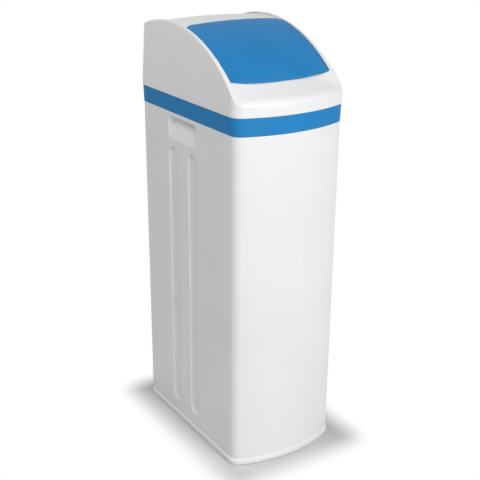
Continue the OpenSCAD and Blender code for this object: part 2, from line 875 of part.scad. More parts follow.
module control_housing() {
    inner_y = housing_y + housing_wall;
    color([0.2, 0.21, 0.23]) difference() {
        union() {
            difference() {
                along_y(housing_y, bracket_y) housing_face();
                along_y(inner_y, bracket_y + over) translate([0, housing_z + housing_h / 2])
                    rounded(2 * (housing_half - housing_wall), housing_h - 2 * housing_wall, housing_corner - 2);
            }
            along_y(inner_y - over, bracket_y) screw_places() circle(post_r);
        }
        along_y(housing_y - over, bracket_y + over) screw_places() circle(screw_r);
        along_y(housing_y - over, inner_y + over) button_places() circle(button_r + button_gap);
        along_y(housing_y - over, inner_y + over) translate([0, window_z])
            rounded(window_w - 2 * window_rim, window_h - 2 * window_rim, window_rim);
        along_y(housing_y - over, housing_y + window_seat) translate([0, window_z])
            rounded(window_w, window_h, window_rim + 1);
        rod_x(jack_y, jack_z, jack_r, -housing_half - over, -housing_half + jack_in);
    }
}

module display_window() {
    color([0.1, 0.13, 0.12]) along_y(housing_y + fit_gap, housing_y + window_seat)
        translate([0, window_z])
        rounded(window_w - 2 * fit_gap, window_h - 2 * fit_gap, window_rim + 1);
}

module circuit_board() {
    color([0.08, 0.35, 0.16]) union() {
        along_y(board_y, board_y + board_t) difference() {
            translate([0, housing_z + housing_h / 2])
                square([2 * (housing_half - housing_wall - fit_gap), housing_h - board_drop],
                    center = true);
        }
        along_y(board_y - 2, board_y + over / 2) translate([0, window_z])
            square([window_w - 8, window_h - 8], center = true);
    }
}

module button(k) {
    color([0.85, 0.86, 0.88]) translate([k * button_pitch, 0, 0]) union() {
        rod_y(0, button_z, button_r, housing_y - 2.2, housing_y + 3);
        rod_y(0, button_z, button_r + 1.3, housing_y + housing_wall + 0.05, housing_y + housing_wall + 0.85);
    }
}

module button_menu() {
    button(-1.5);
}

module button_down() {
    button(-0.5);
}

module button_up() {
    button(0.5);
}

module button_set() {
    button(1.5);
}

module power_socket() {
    color(dark) difference() {
        union() {
            rod_x(jack_y, jack_z, jack_r - run_fit, -housing_half, -housing_half + jack_in);
            rod_x(jack_y, jack_z, jack_flange, -housing_half - jack_out, -housing_half);
        }
        rod_x(jack_y, jack_z, jack_bore, -housing_half - jack_out - over, -housing_half + jack_in - 2);
    }
}

module housing_screws() {
    color(steel) union() {
        along_y(housing_y - 2, valve_y0) screw_places() circle(screw_r - run_fit);
        along_y(housing_y - 2.4, housing_y) screw_places() circle(head_r);
    }
}

module bracket_screws() {
    color(steel) for (a = [45:90:315]) translate([bolt_ring * cos(a), 0, valve_z + bolt_ring * sin(a)]) {
        rod_y(0, 0, screw_r - run_fit, bracket_y - over / 2, valve_y0);
        rod_y(0, 0, head_r - over, bracket_y - 1.6, bracket_y);
    }
}

module injector_cap() {
    color([0.3, 0.31, 0.33])
        rod_x(injector_y, injector_z, injector_r + 2, -injector_l - injector_cap_t, -injector_l);
}

module drain_elbow() {
    color([0.22, 0.23, 0.25]) difference() {
        union() {
            rod_z(0, drain_y, 9, valve_z + barrel_r + 6, drain_z + drain_r + 2);
            rod_y(0, drain_z, drain_r, drain_y, pipe_end);
            rod_y(0, drain_z, drain_r + 3, drain_y + 20, drain_y + 30);
        }
        rod_y(0, drain_z, drain_r - 2, drain_y, pipe_end + over);
        rod_z(0, drain_y, drain_r - 2, valve_z + barrel_r, drain_z);
    }
}

module brine_elbow() {
    color([0.22, 0.23, 0.25]) difference() {
        union() {
            rod_x(elbow_y, elbow_z, 8, barrel_r + 8, elbow_x + 8);
            rod_z(elbow_x, elbow_y, 8, elbow_z - 22, elbow_z);
        }
        rod_x(elbow_y, elbow_z, 3, barrel_r + 7, elbow_x);
        rod_z(elbow_x, elbow_y, 3, elbow_z - 23, elbow_z);
        rod_z(elbow_x, elbow_y, tube_r + fit_gap, elbow_z - 23, elbow_z - 10);
    }
}

module bypass_body() {
    z0 = valve_z - bypass_h / 2;
    color([0.14, 0.15, 0.16]) difference() {
        union() {
            both_sides() {
                rod_z(pipe_x, bypass_y, bypass_r, z0, z0 + bypass_h);
                rod_y(pipe_x, valve_z, pipe_r + 0.4, tube_y1, bypass_y);
                rod_y(pipe_x, valve_z, pipe_r + nipple_collar, bypass_y, nipple_y);
                rod_y(pipe_x, valve_z, pipe_r, bypass_y, pipe_end);
            }
            rod_x(bypass_y, valve_z, link_r, -pipe_x, pipe_x);
        }
        both_sides() {
            rod_z(pipe_x, bypass_y, rotor_r + run_fit, rotor_z0 - fit_gap, z0 + bypass_h + over);
            rod_y(pipe_x, valve_z, pipe_bore, tube_y1 - over, pipe_end + over);
        }
        rod_x(bypass_y, valve_z, link_r - 4, -pipe_x, pipe_x);
    }
}

module bypass_handle(x) {
    color(red) translate([x, 0, 0]) difference() {
        union() {
            rod_z(0, bypass_y, rotor_r, rotor_z0, rotor_z1 + over);
            rod_z(0, bypass_y, bypass_r, rotor_z1, rotor_z1 + 7);
            translate([-4, bypass_y - 20, rotor_z1 + 6]) cube([8, 40, 10]);
        }
        rod_y(0, valve_z, pipe_bore - over, bypass_y - bypass_r, bypass_y + bypass_r);
    }
}

module inlet_handle() {
    bypass_handle(-pipe_x);
}

module outlet_handle() {
    bypass_handle(pipe_x);
}

module bypass_clips() {
    color(red) both_sides() difference() {
        rod_y(pipe_x, valve_z, pipe_r + 3.4, tube_y1 - 6, tube_y1 + 3);
        rod_y(pipe_x, valve_z, socket_r + run_fit, tube_y1 - 7, tube_y1 + 4);
    }
}

module brine_well() {
    color([0.8, 0.82, 0.84]) difference() {
        rod_z(well_x, well_y, well_r, floor_t, well_z1);
        rod_z(well_x, well_y, well_r - well_wall, floor_t - over, well_z1 + over);
        for (a = [0:45:135]) translate([well_x, well_y, well_slot_z]) rotate([0, 0, a])
            cube([2 * well_r + over, well_slot_w, well_slot_h], center = true);
        rod_y(well_x, entry_z, tube_r + tube_gap, well_y, well_y + well_r + over);
    }
}

module brine_well_cap() {
    color(dark) union() {
        rod_z(well_x, well_y, well_r + cap_rim, well_z1 + fit_gap, well_z1 + cap_t);
        difference() {
            rod_z(well_x, well_y, well_r - cap_fit, well_z1 - cap_skirt, well_z1 + over);
            rod_z(well_x, well_y, well_r - cap_fit - well_wall, well_z1 - cap_skirt - over, well_z1 + fit_gap);
        }
        rod_z(well_x, well_y, knob_r, well_z1 + cap_t - over, well_z1 + knob_h);
    }
}

module brine_valve() {
    color([0.85, 0.85, 0.86]) difference() {
        union() {
            rod_z(well_x, well_y, foot_valve_r, floor_t, floor_t + foot_valve_h);
            rod_z(well_x, well_y, stem_r, floor_t, entry_z + 8);
            rod_y(well_x, entry_z, tube_r + 2.5, well_y, well_y + spout_l);
            for (z = [guide_z0, guide_z1]) {
                rod_z(well_x, well_y, guide_r, z, z + guide_t);
                translate([well_x - 5, rod_y - 5, z]) cube([10, well_y - rod_y, guide_t]);
            }
        }
        for (z = [guide_z0, guide_z1]) rod_z(well_x, rod_y, wire_r + run_fit, z - over, z + guide_t + over);
        rod_z(well_x, well_y, stem_r - 2, floor_t + 10, entry_z);
        rod_y(well_x, entry_z, tube_r - 1.5, well_y, well_y + spout_l);
        rod_y(well_x, entry_z, tube_r + fit_gap, well_y + 16, well_y + spout_l + over);
    }
}

module float() {
    z = guide_z0 + guide_t + float_gap;
    color([0.9, 0.55, 0.15]) difference() {
        rod_z(well_x, rod_y, float_r, z, z + float_h);
        rod_z(well_x, rod_y, wire_r, z - over, z + float_h + over);
    }
}

module float_rod() {
    color(steel) rod_z(well_x, rod_y, wire_r, guide_z0 - float_rise - 5, guide_z1 + guide_t + 20);
}

// Swept round tube along hand-set points
module sweep(path, r, sides) {
    n = len(path);
    dirs = [for (i = [0:n - 1]) path[min(n - 1, i + 1)] - path[max(0, i - 1)]];
    rings = [for (i = [0:n - 1]) let(d = dirs[i] / norm(dirs[i]))
        let(s = cross(d, [1, 0.2, 0])) let(u = s / norm(s)) let(v = cross(d, u))
        [for (k = [0:sides - 1]) path[i] + r * (u * cos(360 * k / sides) + v * sin(360 * k / sides))]];
    polyhedron(
        points = [for (q = rings) each q],
        faces = concat(
            [[for (k = [0:sides - 1]) k]],
            [for (i = [0:n - 2], k = [0:sides - 1]) each [
                [i * sides + k, (i + 1) * sides + k, i * sides + (k + 1) % sides],
                [i * sides + (k + 1) % sides, (i + 1) * sides + k, (i + 1) * sides + (k + 1) % sides]]],
            [[for (k = [sides - 1:-1:0]) (n - 1) * sides + k]]));
}

function blend(p, t) =
    pow(1 - t, 3) * p[0] + 3 * t * pow(1 - t, 2) * p[1] + 3 * t * t * (1 - t) * p[2] + t * t * t * p[3];

module brine_tube() {
    start = [elbow_x, elbow_y, elbow_z - 10.5];
    leave = start - [0, 0, 13];
    finish = [well_x, well_y + 16.5, entry_z];
    arrive = finish + [0, 34, 0];
    bend_y = arrive[1] + 60;
    bend_x = sqrt(pow(vessel_r + tube_clear, 2) - pow(vessel_y - bend_y, 2));
    bends = [leave, leave - [0, 0, 40], [bend_x, bend_y, entry_z + 40], arrive];
    color([0.92, 0.93, 0.95]) sweep(concat(
        [start],
        [for (i = [0:16]) blend(bends, i / 16)],
        [finish]), tube_r, 14);
}

module salt_grid() {
    color([0.9, 0.9, 0.92]) difference() {
        union() {
            intersection() {
                slab(-grid_edge, grid_z, grid_z + grid_t);
                translate([-half_w, -half_d, grid_z - over])
                    cube([cabinet_w, half_d + grid_back, grid_t + 2 * over]);
            }
            for (p = grid_posts) rod_z(p[0], p[1], grid_post_r, floor_t, grid_z + over);
        }
        rod_z(0, vessel_y, vessel_r + grid_gap, grid_z - over, grid_z + grid_t + over);
        rod_z(well_x, well_y, well_r + over, grid_z - over, grid_z + grid_t + over);
        for (x = [-5:5], y = [0:6])
            translate([(x + 1 / 3) * grid_pitch, (y - 8.375) * grid_pitch, grid_z - over])
            cylinder(r = grid_hole_r, h = grid_t + 2 * over, $fn = 12);
    }
}

module overflow_elbow() {
    color([0.86, 0.87, 0.88]) difference() {
        union() {
            rod_y(-overflow_x, overflow_z, shank_r, shank_y, flange_y + over);
            rod_y(-overflow_x, overflow_z, flange_r, flange_y, flange_y + flange_t);
            rod_y(-overflow_x, overflow_z, overflow_r + 1.5, flange_y, overflow_y);
            translate([-overflow_x, overflow_y, overflow_z]) sphere(overflow_r + 1.5);
            rod_z(-overflow_x, overflow_y, overflow_r + 3, overflow_z - overflow_neck, overflow_z);
            rod_z(-overflow_x, overflow_y, overflow_r, overflow_z - overflow_l, overflow_z);
        }
        rod_y(-overflow_x, overflow_z, overflow_r - overflow_wall, shank_y - over, overflow_y);
        rod_z(-overflow_x, overflow_y, overflow_r - overflow_wall, overflow_z - overflow_l - over, overflow_z);
    }
}

module overflow_seal() {
    color(dark) difference() {
        rod_y(-overflow_x, overflow_z, flange_r - 1, half_d, flange_y);
        rod_y(-overflow_x, overflow_z, overflow_hole, half_d - over, flange_y + over);
    }
}

module overflow_nut() {
    color([0.86, 0.87, 0.88]) difference() {
        along_y(half_d - wall - nut_t, half_d - wall) translate([-overflow_x, overflow_z])
            circle(flange_r + 1, $fn = 6);
        rod_y(-overflow_x, overflow_z, shank_r + run_fit, half_d - wall - nut_t - over, half_d - wall + over);
    }
}

cabinet_body();
trim_band();
top_cover();
salt_lid();
pressure_vessel();
vessel_boot();
resin_bed();
riser_tube();
lower_distributor();
upper_basket();
valve_body();
neck_seal();
end_plug();
seal_stack();
piston();
piston_rod();
drive_bracket();
drive_gear();
motor_pinion();
drive_motor();
control_housing();
display_window();
circuit_board();
button_menu();
button_down();
button_up();
button_set();
power_socket();
housing_screws();
bracket_screws();
injector_cap();
drain_elbow();
brine_elbow();
bypass_body();
inlet_handle();
outlet_handle();
bypass_clips();
brine_well();
brine_well_cap();
brine_valve();
float();
float_rod();
brine_tube();
salt_grid();
overflow_elbow();
overflow_seal();
overflow_nut();
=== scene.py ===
import json
import math

import bmesh
import bpy
from mathutils import Matrix, Vector


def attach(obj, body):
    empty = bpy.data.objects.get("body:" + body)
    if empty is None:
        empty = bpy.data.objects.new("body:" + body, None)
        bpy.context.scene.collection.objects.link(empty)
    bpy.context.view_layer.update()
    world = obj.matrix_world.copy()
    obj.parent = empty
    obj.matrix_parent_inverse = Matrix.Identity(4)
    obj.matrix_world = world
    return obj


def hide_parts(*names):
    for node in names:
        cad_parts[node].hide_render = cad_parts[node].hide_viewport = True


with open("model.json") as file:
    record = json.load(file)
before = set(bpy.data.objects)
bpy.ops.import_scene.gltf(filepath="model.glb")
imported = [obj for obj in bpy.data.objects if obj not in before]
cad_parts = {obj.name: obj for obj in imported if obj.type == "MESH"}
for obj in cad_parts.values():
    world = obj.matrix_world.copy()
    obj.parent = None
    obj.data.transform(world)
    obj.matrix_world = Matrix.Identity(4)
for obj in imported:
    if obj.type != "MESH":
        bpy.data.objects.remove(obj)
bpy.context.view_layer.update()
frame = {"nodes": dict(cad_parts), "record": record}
mm = 0.001
weldGap = 0.00002

cabinetForm = {
    "halfWidth": 158.0, "halfDepth": 248.0, "bow": 35.0, "frontR": 28.0, "rearR": 24.0, "coverZ": 940.0,
    "notchHalf": 100.0,
}
bowR = (cabinetForm["halfWidth"] ** 2 + cabinetForm["bow"] ** 2) / (2 * cabinetForm["bow"])
bowY = bowR - cabinetForm["halfDepth"]
frontCx = cabinetForm["halfWidth"] - cabinetForm["frontR"]
frontCy = bowY - math.sqrt((bowR - cabinetForm["frontR"]) ** 2 - frontCx ** 2)
cornerSweep = math.degrees(math.atan2(bowY - frontCy, frontCx))
bowStart, bowStop = 180 + cornerSweep, 360 - cornerSweep
rearCx = cabinetForm["halfWidth"] - cabinetForm["rearR"]
rearCy = cabinetForm["halfDepth"] - cabinetForm["rearR"]


def spread(start, stop, count):  # evenly spaced, without the last one
    return [start + (stop - start) * i / count for i in range(count)]


def arcStations(cx, cy, radius, angles, zone):  # point, outward normal and zone
    out = []
    for a in angles:
        c, s = math.cos(math.radians(a)), math.sin(math.radians(a))
        out.append((cx + radius * c, cy + radius * s, c, s, zone))
    return out


def walkOutline(rearXs, sideYs, cornerSteps, bowAngles):  # once round, from the middle of the back
    half, depth = cabinetForm["halfWidth"], cabinetForm["halfDepth"]
    left = [(-x, depth, 0, 1, "rear") for x in rearXs]
    left += arcStations(-rearCx, rearCy, cabinetForm["rearR"], spread(90, 180, cornerSteps), "rearCorner")
    left += [(-half, y, -1, 0, "side") for y in sideYs]
    left += arcStations(-frontCx, frontCy, cabinetForm["frontR"],
                        spread(180, bowStart, 2 * cornerSteps), "frontCorner")
    front = arcStations(0, bowY, bowR, bowAngles, "front")
    right = [(-x, y, -nx, ny, zone) for x, y, nx, ny, zone in reversed(left)]
    return left + front + right


def gridPiece(columns, rows, place, opened=None):  # place gives each grid point in millimetres
    bm = bmesh.new()
    bmesh.ops.create_grid(bm, x_segments=columns - 1, y_segments=rows - 1, size=0.5)
    mouth = []
    if opened:
        for f in bm.faces:
            centre = f.calc_center_median()
            if opened(int((centre.x + 0.5) * (columns - 1)), int((centre.y + 0.5) * (rows - 1))):
                mouth.append(f)
    for v in bm.verts:
        column = round((v.co.x + 0.5) * (columns - 1))
        row = round((v.co.y + 0.5) * (rows - 1))
        v.co = Vector(place(column, row)) * mm
    bmesh.ops.delete(bm, geom=mouth, context="FACES")
    bmesh.ops.remove_doubles(bm, verts=bm.verts, dist=weldGap)
    return bm


def loftPiece(stations, rows, place):  # columns go round and rows go up
    return gridPiece(len(stations), rows, lambda column, row: place(stations[column], row))


def faceUp(bm):
    bmesh.ops.recalc_face_normals(bm, faces=bm.faces)
    if sum(f.normal.z for f in bm.faces) < 0:
        bmesh.ops.reverse_faces(bm, faces=bm.faces)


def finishMesh(bm, name, sharpAngle, recalc=True):
    if recalc:
        bmesh.ops.recalc_face_normals(bm, faces=bm.faces)
    mesh = bpy.data.meshes.new(name)
    bm.to_mesh(mesh)
    bm.free()
    mesh.shade_smooth()
    mesh.set_sharp_from_angle(angle=math.radians(sharpAngle))
    piece = bpy.data.objects.new(name, mesh)
    bpy.context.scene.collection.objects.link(piece)
    return piece


def addWall(piece, thickness):  # a shell that grows inward
    wall = piece.modifiers.new("wall", "SOLIDIFY")
    wall.thickness = thickness * mm
    wall.offset = -1


def smoothStep(t):
    t = min(1.0, max(0.0, t))
    return t * t * (3 - 2 * t)


def softMax(a, b, blend):
    return 0.5 * (a + b + math.sqrt((a - b) ** 2 + blend * blend))


def clampHalf(value, half):
    return max(-half, min(half, value))


def roundedBoxDistance(u, v, halfU, halfV, radius):  # negative inside
    du, dv = abs(u) - halfU + radius, abs(v) - halfV + radius
    return math.hypot(max(du, 0), max(dv, 0)) + min(max(du, dv), 0) - radius


print("stage: outline ready")

# cabinet shell

cabinetPress = {
    "channelHalf": 22.5, "channelLow": 55.0, "channelHigh": 805.0, "channelDepth": 6.0, "channelRamp": 3.2,
    "channelYs": (79.0, -17.0), "frontDepth": 2.0, "frontRamp": 16.0,
    "gripY": 31.0, "gripZ": 855.0, "gripHalfY": 70.0, "gripHalfZ": 30.0, "gripR": 14.0, "gripDepth": 16.0,
    "gripRoof": 8.0, "gripRamp": 4.5, "gripStart": 0.12, "wall": 4.0,
}
cabinetGrid = {
    "floorShares": (0.35, 0.85), "wallBands": ((52, 84, 22), (84, 776, 24), (776, 822, 28), (822, 888, 44)),
    "rearTo": 106.0, "midFrom": 50.0, "midTo": 8.0, "frontFrom": -44.0, "bowFrom": 264.0, "bowTo": 276.0,
}


def channelDepth(u, z, depth, ramp):
    form = cabinetPress
    middle = (form["channelLow"] + form["channelHigh"]) / 2
    tall = (form["channelHigh"] - form["channelLow"]) / 2
    d = roundedBoxDistance(u, z - middle, form["channelHalf"], tall, form["channelHalf"])
    return depth * smoothStep(-d / ramp)


def gripDepth(y, z):
    form = cabinetPress
    d = roundedBoxDistance(y - form["gripY"], z - form["gripZ"],
                           form["gripHalfY"], form["gripHalfZ"], form["gripR"])
    low = form["gripZ"] - form["gripHalfZ"]
    reach = 2 * form["gripHalfZ"] - form["gripRoof"]
    start = form["gripStart"]
    slope = smoothStep(start + (1 - start) * (z - low) / reach) if z > low else 0
    return form["gripDepth"] * slope * smoothStep(-d / form["gripRamp"])


def pressedIn(station, z):
    x, y, nx, ny, zone = station
    form = cabinetPress
    if zone == "side":
        depth = gripDepth(y, z)
        for centre in form["channelYs"]:
            depth = max(depth, channelDepth(y - centre, z, form["channelDepth"], form["channelRamp"]))
        return depth
    if zone == "front":
        return channelDepth(x, z, form["frontDepth"], form["frontRamp"])
    return 0.0


cabinetRows = [  # height, and how far the foot bead and the crease above it stand out
    (0, -1.2), (0.5, 0.7), (1.8, 2.1), (3.6, 2.8), (6, 3.0), (11, 3.0), (13.4, 2.7), (15.0, 1.9), (16.1, 0.6),
    (16.8, -0.8), (17.6, -1.6), (18.8, -1.5), (20.4, -0.6), (22.5, 0), (28, 0), (38, 0), (48, 0),
]
for low, high, count in cabinetGrid["wallBands"]:  # finer at the channels' ends and the grip
    cabinetRows += [(z, 0) for z in spread(low, high, count)]
cabinetRows += [(888, 0), (892, 0), (894.4, -0.1), (895, -0.6)]


def placeCabinet(station, row):
    x, y, nx, ny, zone = station
    floorShares = cabinetGrid["floorShares"]
    if row < len(floorShares):
        return (x * floorShares[row], y * floorShares[row], 0)
    z, grow = cabinetRows[row - len(floorShares)]
    off = grow - pressedIn(station, z)
    return (x + nx * off, y + ny * off, z)


channelAcross = [25, 23.4, 22.5, 21.8, 21.1, 20.4, 19.7, 19, 18.3, 17.6, 16.4, 14.6, 12.4, 10, 7.5, 5, 2.5]
channelAcross += [0] + [-u for u in reversed(channelAcross)]
rearChannel, frontChannel = [[y + u for u in channelAcross] for y in cabinetPress["channelYs"]]
cabinetSideYs = spread(rearCy, cabinetGrid["rearTo"], 8) + rearChannel
cabinetSideYs += spread(cabinetGrid["midFrom"], cabinetGrid["midTo"], 5) + frontChannel
cabinetSideYs += spread(cabinetGrid["frontFrom"], frontCy, 9)
cabinetBow = spread(bowStart, cabinetGrid["bowFrom"], 8)
cabinetBow += spread(cabinetGrid["bowFrom"], cabinetGrid["bowTo"], 36)
cabinetBow += spread(cabinetGrid["bowTo"], bowStop, 8) + [bowStop]
cabinetStations = walkOutline(spread(0, rearCx, 8), cabinetSideYs, 7, cabinetBow)
cabinetRowCount = len(cabinetGrid["floorShares"]) + len(cabinetRows)
shellMesh = loftPiece(cabinetStations, cabinetRowCount, placeCabinet)
floorEdges = [e for e in shellMesh.edges if e.is_boundary and all(v.co.z < mm for v in e.verts)]
bmesh.ops.holes_fill(shellMesh, edges=floorEdges, sides=0)
cabinetShell = finishMesh(shellMesh, "cabinetShell", 50)
addWall(cabinetShell, cabinetPress["wall"])
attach(cabinetShell, "cabinet")
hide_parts("cabinet_body")
print("stage: cabinet shell")

# blue trim band

bandRows = [  # height and how far out: skirt, outer face, rib, inner face
    (906, -7), (897.5, -7), (897.5, -3.6), (895.2, -3.4), (895.05, -0.8), (895.3, 0.2), (896, 0.6),
    (897.5, 0.8), (905, 1.1), (915, 1.4), (925, 1.7), (934, 1.9), (937.5, 2.0), (939.2, 1.7), (939.95, 0.9),
    (939.95, 0.1), (947.4, 0.0), (948, -0.5), (948, -2.2), (947.4, -2.8), (936, -3), (915, -3), (900, -3.4),
    (898.5, -7),
]
bandGrid = {"ribGap": 0.1, "pastRib": 6.0}


def placeBand(station, row):
    x, y, nx, ny, zone = station
    z, grow = bandRows[row]
    if zone == "rear" and abs(x) < cabinetForm["notchHalf"]:
        z = min(z, cabinetForm["coverZ"])  # no rib under the pipes
    return (x + nx * grow, y + ny * grow, z)


ribIn, ribOut = [cabinetForm["notchHalf"] + side * bandGrid["ribGap"] for side in (-1, 1)]
bandRearXs = spread(0, ribIn, 6) + [ribIn, ribOut]
bandRearXs += spread(cabinetForm["notchHalf"] + bandGrid["pastRib"], rearCx, 3)
bandBow = spread(bowStart, bowStop, 40) + [bowStop]
bandStations = walkOutline(bandRearXs, spread(rearCy, frontCy, 24), 8, bandBow)
trimBand = finishMesh(loftPiece(bandStations, len(bandRows), placeBand), "trimBand", 50)
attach(trimBand, "cabinet")
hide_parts("trim_band")
print("stage: trim band")

# cover: walls, rails, shelf

coverForm = {
    "out": 4.0, "lean": 13.0, "leanTop": 189.0, "wall": 3.0, "railY": 105.0, "railZ": 700.0, "railR": 421.0,
    "deckR": 415.0, "deckThick": 3.0, "crown": 6.0, "railHalf": 145.0, "railIn": 143.0, "railBlend": 4.0,
    "railDip": 0.5, "slotDeep": 3.2, "slotEdge": 0.4, "ledge": 975.0, "shelfFrom": -110.0, "shelfBlend": 5.0,
    "lidFront": 190.0, "lidBow": 15.0, "lidHalf": 144.4, "lidIn": 415.6, "lidThick": 3.4, "seam": 0.8,
    "notchTop": 1046.0, "notchRow": 0.7423, "notchSlack": 0.5, "rearIn": 6.0, "rearTop": 1098.0,
    "frontFillet": 22.0, "sideFillet": 4.0, "filletBlend": 24.0, "footGap": 0.05, "footTuck": (0.9, 0.2),
    "railUnder": 9.0, "deckUnder": 3.5, "underGap": 0.4, "underDrop": 0.5, "underRise": 40.0,
}
coverHalf = cabinetForm["halfWidth"] + coverForm["out"]
coverRear = cabinetForm["halfDepth"] + coverForm["out"] - coverForm["rearIn"]
lidArcR = (coverForm["lidHalf"] ** 2 + coverForm["lidBow"] ** 2) / (2 * coverForm["lidBow"])
lidArcY = lidArcR - coverForm["lidFront"]
lidOut = coverForm["lidIn"] + coverForm["lidThick"]
lidCrownR = lidOut + coverForm["crown"]
lidFrontZ = coverForm["railZ"] + math.sqrt(lidCrownR ** 2 - (coverForm["railY"] + coverForm["lidFront"]) ** 2)
shelfR0 = bowY + coverForm["lidFront"]
shelfR1 = bowR + coverForm["out"]
shelfSlope = (lidFrontZ - coverForm["ledge"]) / (shelfR1 - shelfR0)


def railArc(y, radius):
    return coverForm["railZ"] + math.sqrt(max(1.0, radius ** 2 - (y - coverForm["railY"]) ** 2))


def crownR(x, base):
    return base + coverForm["crown"] * max(0.0, 1 - (x / coverForm["railHalf"]) ** 2)


def frontArc(x, grow):  # the lid's front edge, moved out
    return lidArcY - math.sqrt((lidArcR + grow) ** 2 - x * x)


def leanIn(x, z):
    return x * (1 - coverForm["lean"] / coverHalf * (z - cabinetForm["coverZ"]) / coverForm["leanTop"])


def coverTop(x, y, zone):
    form = coverForm
    if zone == "rear":
        railFall = (form["railR"] - form["deckR"]) * smoothStep((form["railIn"] - abs(x)) / form["railBlend"])
        return railArc(y, max(crownR(x, form["deckR"]), form["railR"] - railFall))
    arc = railArc(y, form["railR"])
    if y > form["shelfFrom"]:
        return arc
    cone = lidFrontZ - shelfSlope * (math.hypot(x, y - bowY) - shelfR0)
    return softMax(arc, cone, form["shelfBlend"])


def innerEdge(x, y, nx, ny, zone):  # where the top strip ends, at the lid or the deck
    half = coverForm["railHalf"]
    if zone in ("front", "frontCorner"):
        ix = clampHalf(x * half / cabinetForm["halfWidth"], half)
        return ix, frontArc(ix, coverForm["seam"])
    if zone in ("rear", "rearCorner"):
        ix = leanIn(x - nx * coverForm["rearIn"], coverForm["rearTop"])
        return clampHalf(ix, half), min(y - ny * coverForm["rearIn"], coverRear)
    return math.copysign(half, x), min(y, coverRear)


lowSteps = [0, 0.012, 0.03, 0.12, 0.25, 0.4, 0.55, 0.66, coverForm["notchRow"]]
wallSteps = lowSteps + [0.85, 0.94, 1.0]
filletSteps = [0.12, 0.25, 0.38, 0.5, 0.62, 0.75, 0.88, 1.0]
stripSteps = [0.1, 0.22, 0.36, 0.5, 0.64, 0.78, 0.9, 0.97, 1.0]
slotFloor = coverForm["lidIn"] - coverForm["slotEdge"]
slotSteps = [  # share of the slot's depth, radius and shift
    (0.0, coverForm["railR"] - coverForm["slotEdge"], -coverForm["slotEdge"]), (0.0, lidOut, 0.0),
    (1.0, lidOut, 0.0), (1.0, slotFloor, 0.0), (0.0, slotFloor, 0.0),
    (0.0, slotFloor - coverForm["wall"], 0.0),
]
slotFalls = [0.08, 0.2, 0.4, 0.6, 0.8, 1.0]
underSteps = [0.85, 0.6, 0.35, 0.12]
innerSteps = [0.96] + lowSteps[::-1]
coverSteps = (wallSteps, filletSteps, stripSteps, slotSteps, underSteps, innerSteps)
coverRowCount = sum(len(steps) for steps in coverSteps)


def coverFacts(station):
    x, y, nx, ny, zone = station
    ox, oy = x + nx * coverForm["out"], y + ny * coverForm["out"]
    fillet = coverForm["sideFillet"]
    if zone == "front":
        fillet = coverForm["frontFillet"]
    if zone == "frontCorner":
        fillet += (coverForm["frontFillet"] - fillet) * smoothStep((frontCy - y) / coverForm["filletBlend"])
    ix, iy = innerEdge(ox, oy, nx, ny, zone)
    rise = (coverTop(ox - nx * (fillet + 1), oy - ny * (fillet + 1), zone)
            - coverTop(ox - nx * fillet, oy - ny * fillet, zone))
    sweep = math.pi / 2 - math.atan(max(0.0, rise))  # the rounding ends along the slope it meets
    inward = fillet * (1 - math.cos(sweep))
    topX, topY = ox - nx * inward, oy - ny * inward
    edgeZ = coverTop(topX, topY, zone)
    return ox, oy, nx, ny, zone, fillet, sweep, ix, iy, topX, topY, edgeZ


def wallPoint(x, share, low, high, zone):  # the rear's rows and columns meet the notch
    z = low + share * (high - low)
    if zone != "rear":
        return leanIn(x, z), z
    mark, top = coverForm["notchRow"], coverForm["notchTop"]
    if share > mark:
        z = top + (share - mark) / (1 - mark) * (high - top)
        return leanIn(x, z), z
    z = low + share / mark * (top - low)
    half = cabinetForm["notchHalf"]
    part = max(0.0, (abs(x) - half) / (rearCx - half))
    return x + (leanIn(x, z) - x) * part, z


def placeCover(station, row):
    ox, oy, nx, ny, zone, fillet, sweep, ix, iy, topX, topY, edgeZ = coverFacts(station)
    form = coverForm
    wallTop = edgeZ - fillet * math.sin(sweep)
    foot = cabinetForm["coverZ"] + form["footGap"]
    wall = form["wall"]
    if row < len(wallSteps):
        tuck = form["footTuck"][row] if row < len(form["footTuck"]) else 0.0
        px, z = wallPoint(ox - nx * tuck, wallSteps[row], foot, wallTop, zone)
        return (px, oy - ny * tuck, z)
    row -= len(wallSteps)
    if row < len(filletSteps):
        a = filletSteps[row] * sweep
        z = wallTop + fillet * math.sin(a)
        inward = fillet * (1 - math.cos(a))
        return (leanIn(ox - nx * inward, z), oy - ny * inward, z)
    row -= len(filletSteps)
    startX = leanIn(topX, edgeZ)
    if row < len(stripSteps):
        t = stripSteps[row]
        px, py = startX + (ix - startX) * t, topY + (iy - topY) * t
        dip = form["railDip"] * smoothStep((t - 0.9) / 0.1) if zone == "side" else 0.0
        return (px, py, coverTop(px, py, zone) - dip)
    row -= len(stripSteps)
    topZ = coverTop(ix, iy, zone)
    if row < len(slotSteps):
        deep, radius, shift = slotSteps[row]
        if zone == "side":
            return (ix + math.copysign(deep * form["slotDeep"] + shift, ix), iy, railArc(iy, radius))
        low = railArc(iy, crownR(ix, form["deckR"]) - form["deckThick"])
        return (ix, iy, topZ + (min(low, topZ - form["deckThick"]) - topZ) * slotFalls[row])
    row -= len(slotSteps)
    under = form["railUnder"] if zone == "side" else form["deckUnder"]
    if row < len(underSteps):
        t = underSteps[row]
        inner = wall + form["underGap"]
        wx, wy = leanIn(ox - nx * inner, edgeZ), oy - ny * inner
        px, py = wx + (ix - wx) * t, wy + (iy - wy) * t
        return (px, py, min(coverTop(px, py, zone), edgeZ + form["underRise"]) - under - form["underDrop"])
    row -= len(underSteps)
    px, z = wallPoint(ox - nx * wall, innerSteps[row], foot, wallTop - under, zone)
    return (px, oy - ny * wall, z)


